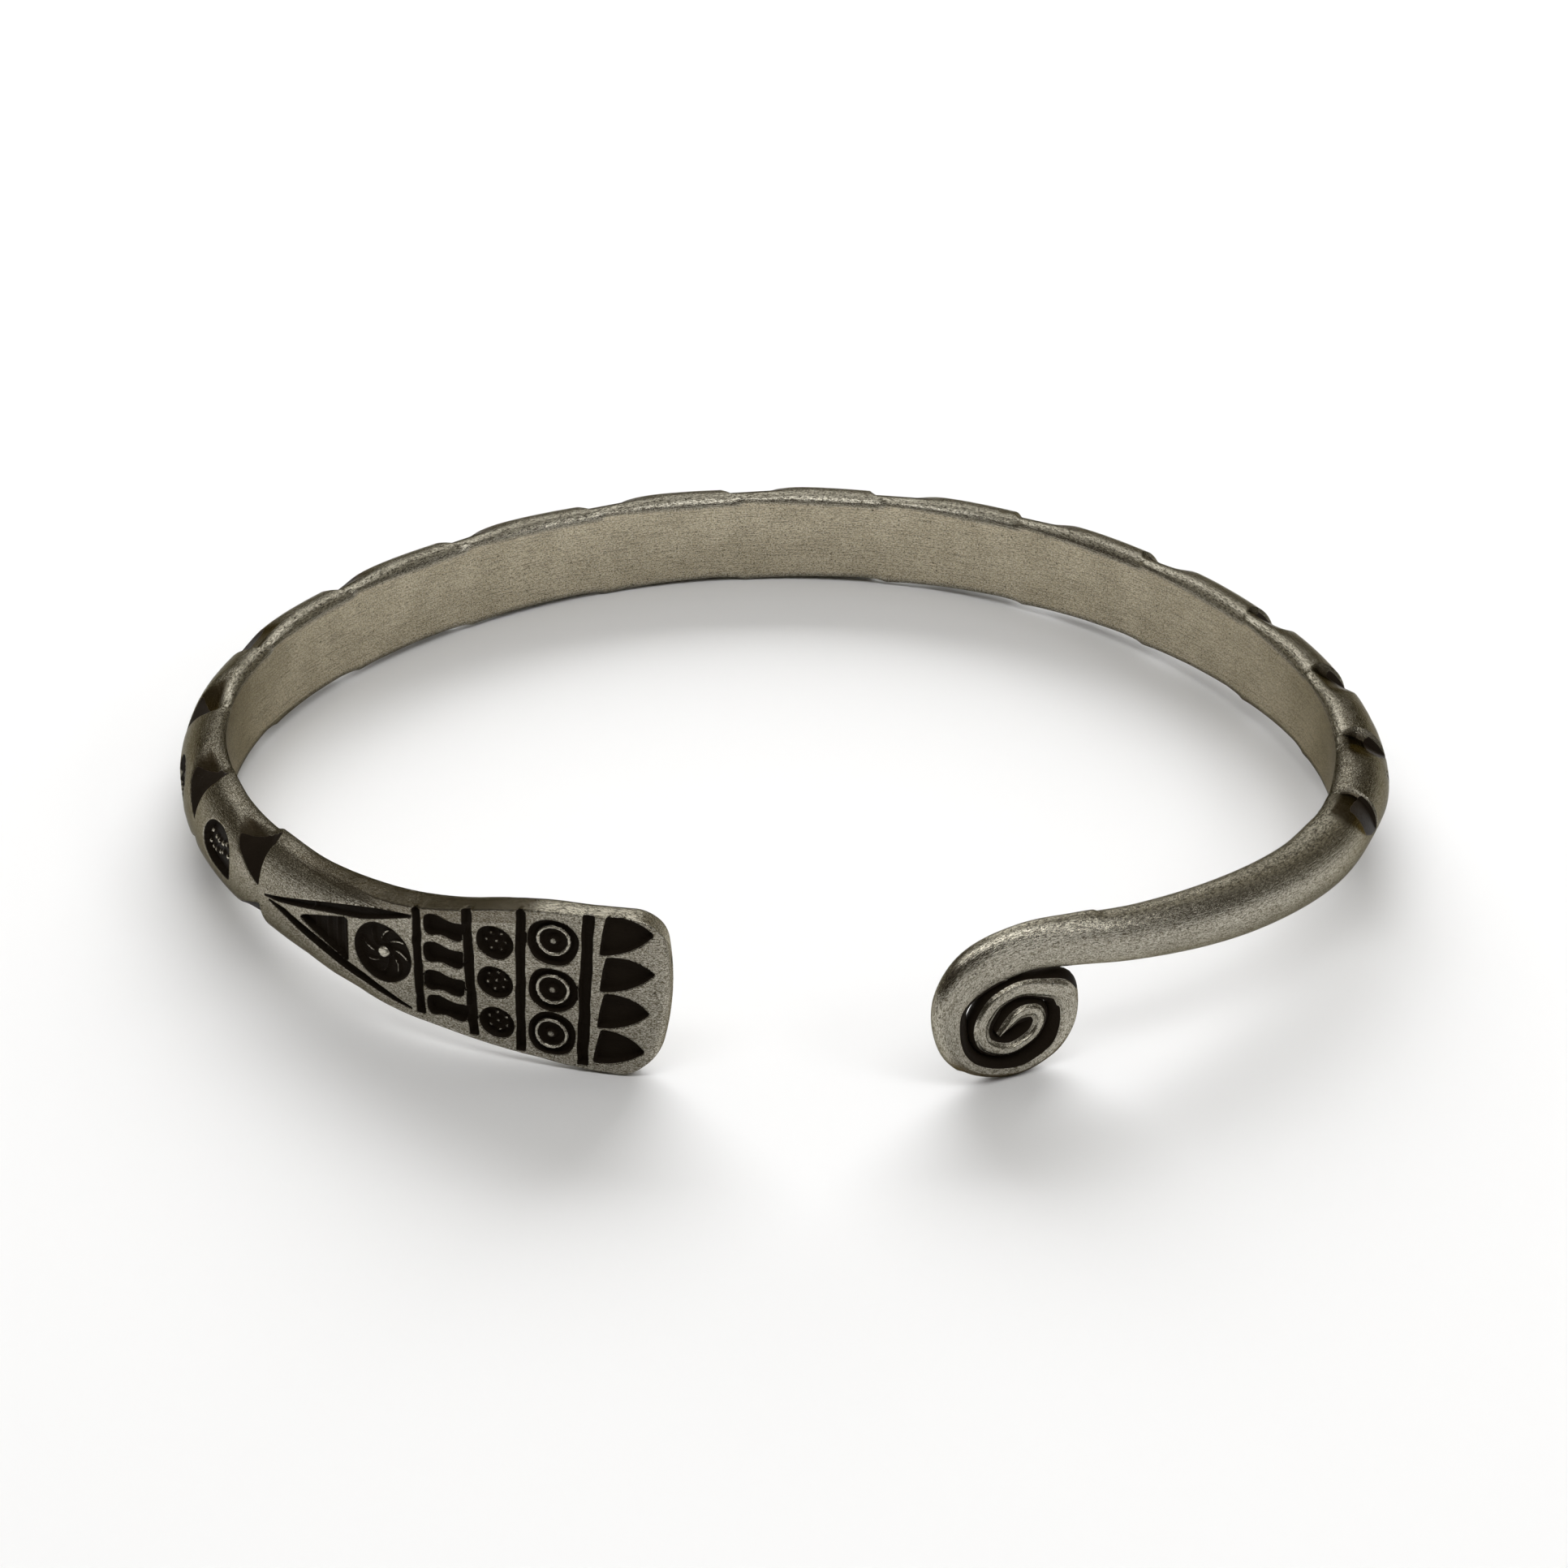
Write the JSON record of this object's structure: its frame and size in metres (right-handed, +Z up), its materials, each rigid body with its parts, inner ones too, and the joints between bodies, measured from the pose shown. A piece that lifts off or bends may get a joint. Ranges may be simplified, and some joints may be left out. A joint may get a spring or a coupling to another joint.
{
  "type": "snake cuff bracelet",
  "caption": "Open silver cuff forged from one half-round bar: flat punched snake head at one end, spiral coiled tail at the other.",
  "frame": {"origin": "centre of the bounding box in X and Y, on the surface that the cuff lies on", "axes": "+Z up out of the surface, along the wrist; +X across the wrist, from the head's side to the coil's side; the gap between the ends faces -Y"},
  "size_m": [0.0656, 0.059, 0.0093],
  "materials": {
    "silver": "warm matte brushed silver with black-brown oxide in the punched marks"
  },
  "bodies": {
    "root": {"cuff": "silver"}
  },
  "joints": []
}
